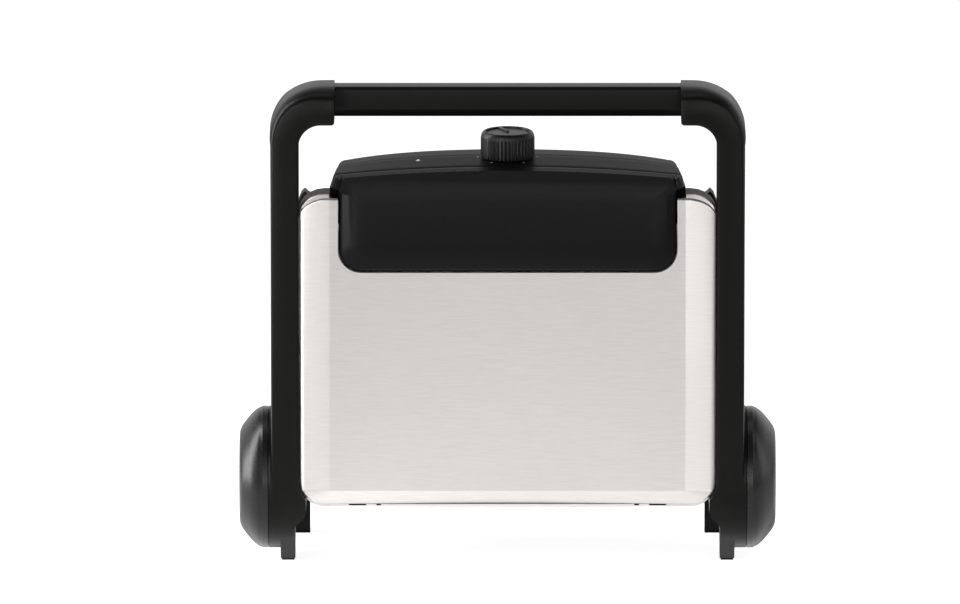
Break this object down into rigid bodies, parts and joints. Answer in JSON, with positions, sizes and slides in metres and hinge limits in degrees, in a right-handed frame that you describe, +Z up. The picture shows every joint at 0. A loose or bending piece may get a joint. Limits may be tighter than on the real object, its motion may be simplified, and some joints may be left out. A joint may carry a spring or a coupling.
{
  "type": "sandwich_maker",
  "caption": "Contact grill sandwich maker standing upright on its hinge end, brushed steel lid in front, black U-shaped handle frame with round hinge hubs, knob on top",
  "frame": {"origin": "Middle of the whole part from side to side and from front to back, on the floor it stands on", "axes": "+X to the right as seen from in front of the steel lid, +Y away from the lid towards the base and its legs, +Z up from the hinge end to the handle"},
  "size_m": [0.38, 0.142, 0.347],
  "materials": {
    "black_plastic": "black moulded plastic with a satin sheen",
    "satin_plastic": "dark grey satin plastic",
    "brushed_steel": "stainless sheet, brushed from side to side",
    "zinc_steel": "plain zinc-plated steel",
    "cast_plate": "cast aluminium with a dark non-stick coat",
    "element_steel": "heat-darkened tube",
    "rubber_pads": "black rubber",
    "ceramic_body": null,
    "nylon": "natural nylon",
    "clear_lens": "clear pale lens"
  },
  "bodies": {
    "base": {"base_shell": "black_plastic", "console": "satin_plastic", "bottom_cover": "black_plastic", "bottom_screw_1": "zinc_steel", "bottom_screw_2": "zinc_steel", "bottom_screw_3": "zinc_steel", "bottom_screw_4": "zinc_steel", "right_rear_leg": "black_plastic", "left_rear_leg": "black_plastic", "right_leg_pad": "rubber_pads", "left_leg_pad": "rubber_pads", "right_front_foot": "black_plastic", "left_front_foot": "black_plastic", "lower_plate": "cast_plate", "lower_element": "element_steel", "lower_reflector": "zinc_steel", "right_hinge_bracket": "zinc_steel", "left_hinge_bracket": "zinc_steel", "right_hinge_pin": "zinc_steel", "left_hinge_pin": "zinc_steel", "right_friction_washer": "zinc_steel", "left_friction_washer": "zinc_steel", "right_hinge_nut": "zinc_steel", "left_hinge_nut": "zinc_steel", "thermostat": "ceramic_body", "thermostat_bracket": "zinc_steel", "indicator_lens": "clear_lens", "indicator_lamp": "clear_lens", "terminal_block": "nylon", "inlet_bush": "rubber_pads"},
    "handle_frame": {"right_arm": "black_plastic", "left_arm": "black_plastic", "handle_bar": "black_plastic", "right_hub_cap": "satin_plastic", "left_hub_cap": "satin_plastic", "right_hinge_bush": "nylon", "left_hinge_bush": "nylon", "right_float_pin": "zinc_steel", "left_float_pin": "zinc_steel", "right_handle_screw": "zinc_steel", "left_handle_screw": "zinc_steel", "right_tab_pad": "rubber_pads", "left_tab_pad": "rubber_pads"},
    "lid": {"top_cover": "brushed_steel", "nose": "black_plastic", "upper_frame": "black_plastic", "upper_plate": "cast_plate", "upper_element": "element_steel", "upper_reflector": "zinc_steel", "right_float_bush": "nylon", "left_float_bush": "nylon", "right_nose_screw": "zinc_steel", "left_nose_screw": "zinc_steel"},
    "control_knob": {"knob": "black_plastic", "knob_cap": "satin_plastic", "thermostat_shaft": "zinc_steel"}
  },
  "joints": [
    {"name": "handle_hinge", "type": "hinge", "parent": "base", "child": "handle_frame", "pos_m": [0, -0.0208, 0.0583], "axis": [1, 0, 0], "range_deg": [0, 105]},
    {"name": "lid_float", "type": "hinge", "parent": "handle_frame", "child": "lid", "pos_m": [0, -0.04, 0.1549], "axis": [1, 0, 0], "range_deg": [-8.5, 0]},
    {"name": "knob_turn", "type": "hinge", "parent": "base", "child": "control_knob", "pos_m": [0, -0.0215, 0.3], "axis": [0, 0, 1], "range_deg": [0, 320]}
  ],
  "couplings": [
    {"joint": "lid_float", "follows": "handle_hinge", "ratio": -0.08}
  ]
}
